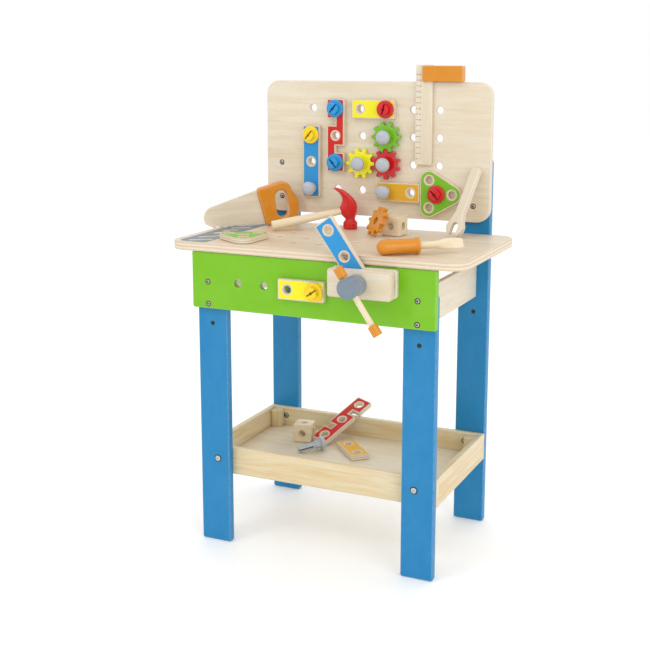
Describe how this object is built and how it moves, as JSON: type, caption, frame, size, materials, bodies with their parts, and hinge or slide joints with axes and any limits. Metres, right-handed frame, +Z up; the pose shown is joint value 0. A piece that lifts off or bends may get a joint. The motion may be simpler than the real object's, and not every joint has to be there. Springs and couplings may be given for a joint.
{
  "type": "toy workbench",
  "caption": "Child's wooden workbench with a peg board, a working vise, a storage tray, turning gears and toy tools.",
  "frame": {"origin": "centre of the whole bench's base on the floor", "axes": "+Z up, +X to the bench's right, +Y to the back where the peg board stands"},
  "size_m": [0.4751, 0.3453, 0.7257],
  "materials": {
    "blue_paint": "satin sky-blue paint on solid board",
    "green_paint": "satin apple-green paint",
    "birch_ply": "clear satin lacquer on pale birch plywood",
    "worktop_ply": "clear satin lacquer on pale birch plywood with a printed grey-blue band",
    "pine_board": "clear satin lacquer on pine board",
    "turned_wood": "clear satin lacquer on turned beech",
    "orange_paint": "gloss orange paint",
    "red_paint": "gloss red paint",
    "lemon_paint": "gloss lemon-yellow paint",
    "sky_paint": "gloss sky-blue paint",
    "grey_paint": "satin silver-grey paint on turned wood",
    "slate_paint": "satin slate-grey paint on turned wood",
    "red_plate": "printed red face with a bare plywood rim",
    "lemon_plate": "printed lemon face with a bare plywood rim",
    "amber_plate": "printed amber face with a bare plywood rim",
    "green_plate": "printed green face with a bare plywood rim",
    "sky_plate": "printed sky-blue face with a bare plywood rim"
  },
  "bodies": {
    "bench": {"leg_front_left": "blue_paint", "leg_back_left": "blue_paint", "leg_front_right": "blue_paint", "leg_back_right": "blue_paint", "side_rail_left": "birch_ply", "side_rail_right": "birch_ply", "back_rail": "birch_ply", "front_apron": "green_paint", "worktop": "worktop_ply", "pegboard": "birch_ply", "tray_front": "pine_board", "tray_back": "pine_board", "tray_left": "pine_board", "tray_right": "pine_board", "tray_floor": "birch_ply", "blue_strip": "sky_plate", "red_strip": "red_plate", "yellow_plate": "lemon_plate", "amber_plate": "amber_plate", "triangle_plate": "green_plate", "apron_plate": "lemon_plate", "vise_back_jaw": "birch_ply", "vise_nut": "turned_wood"},
    "vise_front_jaw": {"vise_front_jaw": "birch_ply"},
    "vise_screw": {"vise_screw": "turned_wood", "vise_hub": "slate_paint"},
    "vise_bar": {"vise_bar": "turned_wood", "bar_cap_upper": "orange_paint", "bar_cap_lower": "orange_paint"},
    "saw": {"saw_blade": "birch_ply", "saw_handle": "orange_paint"},
    "hammer": {"hammer_head": "red_paint", "hammer_handle": "turned_wood"},
    "screwdriver": {"screwdriver_handle": "orange_paint", "screwdriver_shank": "turned_wood"},
    "square": {"square_blade": "birch_ply", "square_stock": "orange_paint"},
    "yellow_screw": {"yellow_screw": "lemon_paint"},
    "blue_screw_upper": {"blue_screw_upper": "sky_paint"},
    "blue_screw_lower": {"blue_screw_lower": "sky_paint"},
    "red_screw": {"red_screw": "red_paint"},
    "triangle_screw": {"triangle_screw": "red_paint"},
    "apron_screw": {"apron_screw": "lemon_paint"},
    "strip_nail": {"strip_nail": "grey_paint"},
    "plate_nail": {"plate_nail": "grey_paint"},
    "green_gear_nail": {"green_gear_nail": "grey_paint"},
    "yellow_gear_nail": {"yellow_gear_nail": "grey_paint"},
    "red_gear_nail": {"red_gear_nail": "grey_paint"},
    "green_gear": {"green_gear": "green_paint"},
    "yellow_gear": {"yellow_gear": "lemon_paint"},
    "red_gear": {"red_gear": "red_paint"},
    "clamped_strip": {"clamped_strip": "sky_plate"},
    "wrench": {"wrench": "birch_ply"},
    "bench_cube": {"bench_cube": "turned_wood"},
    "loose_triangle": {"loose_triangle": "green_plate"},
    "orange_gear": {"orange_gear": "orange_paint"},
    "tray_cube": {"tray_cube": "turned_wood"},
    "tray_plate": {"tray_plate": "amber_plate"},
    "tray_strip": {"tray_strip": "red_plate"},
    "tray_nail": {"tray_nail": "grey_paint"}
  },
  "joints": [
    {"name": "yellow_screw_turn", "type": "hinge", "parent": "bench", "child": "yellow_screw", "pos_m": [-0.10065, 0.1245, 0.61414], "axis": [0, -1, 0], "continuous": true},
    {"name": "blue_screw_upper_turn", "type": "hinge", "parent": "bench", "child": "blue_screw_upper", "pos_m": [-0.05779, 0.1245, 0.657], "axis": [0, -1, 0], "continuous": true},
    {"name": "blue_screw_lower_turn", "type": "hinge", "parent": "bench", "child": "blue_screw_lower", "pos_m": [-0.05779, 0.1245, 0.57128], "axis": [0, -1, 0], "continuous": true},
    {"name": "red_screw_turn", "type": "hinge", "parent": "bench", "child": "red_screw", "pos_m": [0.02793, 0.1245, 0.657], "axis": [0, -1, 0], "continuous": true},
    {"name": "triangle_screw_turn", "type": "hinge", "parent": "bench", "child": "triangle_screw", "pos_m": [0.11365, 0.1245, 0.52842], "axis": [0, -1, 0], "continuous": true},
    {"name": "apron_screw_turn", "type": "hinge", "parent": "bench", "child": "apron_screw", "pos_m": [0.01928, -0.1195, 0.4115], "axis": [0, -1, 0], "continuous": true},
    {"name": "red_gear_spin", "type": "hinge", "parent": "bench", "child": "red_gear", "pos_m": [0.02793, 0.1315, 0.57128], "axis": [0, -1, 0], "continuous": true},
    {"name": "yellow_gear_spin", "type": "hinge", "parent": "bench", "child": "yellow_gear", "pos_m": [-0.01493, 0.1315, 0.57128], "axis": [0, -1, 0], "continuous": true},
    {"name": "green_gear_spin", "type": "hinge", "parent": "bench", "child": "green_gear", "pos_m": [0.02793, 0.1315, 0.61414], "axis": [0, -1, 0], "continuous": true},
    {"name": "strip_nail_pull", "type": "slide", "parent": "bench", "child": "strip_nail", "axis": [0, -1, 0], "range_m": [0, 0.04]},
    {"name": "plate_nail_pull", "type": "slide", "parent": "bench", "child": "plate_nail", "axis": [0, -1, 0], "range_m": [0, 0.04]},
    {"name": "green_gear_nail_pull", "type": "slide", "parent": "bench", "child": "green_gear_nail", "axis": [0, -1, 0], "range_m": [0, 0.04]},
    {"name": "yellow_gear_nail_pull", "type": "slide", "parent": "bench", "child": "yellow_gear_nail", "axis": [0, -1, 0], "range_m": [0, 0.04]},
    {"name": "red_gear_nail_pull", "type": "slide", "parent": "bench", "child": "red_gear_nail", "axis": [0, -1, 0], "range_m": [0, 0.04]},
    {"name": "vise_open", "type": "slide", "parent": "bench", "child": "vise_front_jaw", "axis": [0, -1, 0], "range_m": [0, 0.022]},
    {"name": "vise_screw_turn", "type": "hinge", "parent": "vise_front_jaw", "child": "vise_screw", "pos_m": [0.0945, -0.1405, 0.4327], "axis": [0, -1, 0], "range_deg": [0, 1000]},
    {"name": "vise_bar_slide", "type": "slide", "parent": "vise_screw", "child": "vise_bar", "axis": [-0.5621, 0, 0.8271], "range_m": [0, 0.043]},
    {"name": "clamped_strip_swing", "type": "hinge", "parent": "bench", "child": "clamped_strip", "pos_m": [0.0945, -0.1195, 0.4327], "axis": [0, 1, 0], "range_deg": [-40, 200]},
    {"name": "saw_lift", "type": "slide", "parent": "bench", "child": "saw", "axis": [0, 0, 1], "range_m": [0, 0.1]},
    {"name": "screwdriver_lift", "type": "slide", "parent": "bench", "child": "screwdriver", "axis": [0, 0, 1], "range_m": [0, 0.1]},
    {"name": "square_lift", "type": "slide", "parent": "bench", "child": "square", "axis": [0, 0, 1], "range_m": [0, 0.1]},
    {"name": "loose_triangle_lift", "type": "slide", "parent": "bench", "child": "loose_triangle", "axis": [0, 0, 1], "range_m": [0, 0.06]},
    {"name": "tray_cube_lift", "type": "slide", "parent": "bench", "child": "tray_cube", "axis": [0, 0, 1], "range_m": [0, 0.08]},
    {"name": "tray_plate_lift", "type": "slide", "parent": "bench", "child": "tray_plate", "axis": [0, 0, 1], "range_m": [0, 0.08]},
    {"name": "tray_strip_lift", "type": "slide", "parent": "bench", "child": "tray_strip", "axis": [0, 0, 1], "range_m": [0, 0.08]},
    {"name": "tray_nail_lift", "type": "slide", "parent": "bench", "child": "tray_nail", "axis": [0, 0, 1], "range_m": [0, 0.08]},
    {"name": "hammer_lift", "type": "slide", "parent": "bench", "child": "hammer", "axis": [0, -0.6, 0.8], "range_m": [0, 0.1]},
    {"name": "wrench_lift", "type": "slide", "parent": "bench", "child": "wrench", "axis": [0, -0.6, 0.8], "range_m": [0, 0.08]},
    {"name": "orange_gear_lift", "type": "slide", "parent": "bench", "child": "orange_gear", "axis": [0, -0.6, 0.8], "range_m": [0, 0.08]},
    {"name": "bench_cube_lift", "type": "slide", "parent": "bench", "child": "bench_cube", "axis": [0.8, 0, 0.6], "range_m": [0, 0.06]}
  ],
  "couplings": [
    {"joint": "yellow_gear_spin", "follows": "red_gear_spin", "ratio": -1},
    {"joint": "green_gear_spin", "follows": "red_gear_spin", "ratio": -1},
    {"joint": "vise_screw_turn", "follows": "vise_open", "rad_per_m": 785.4}
  ]
}
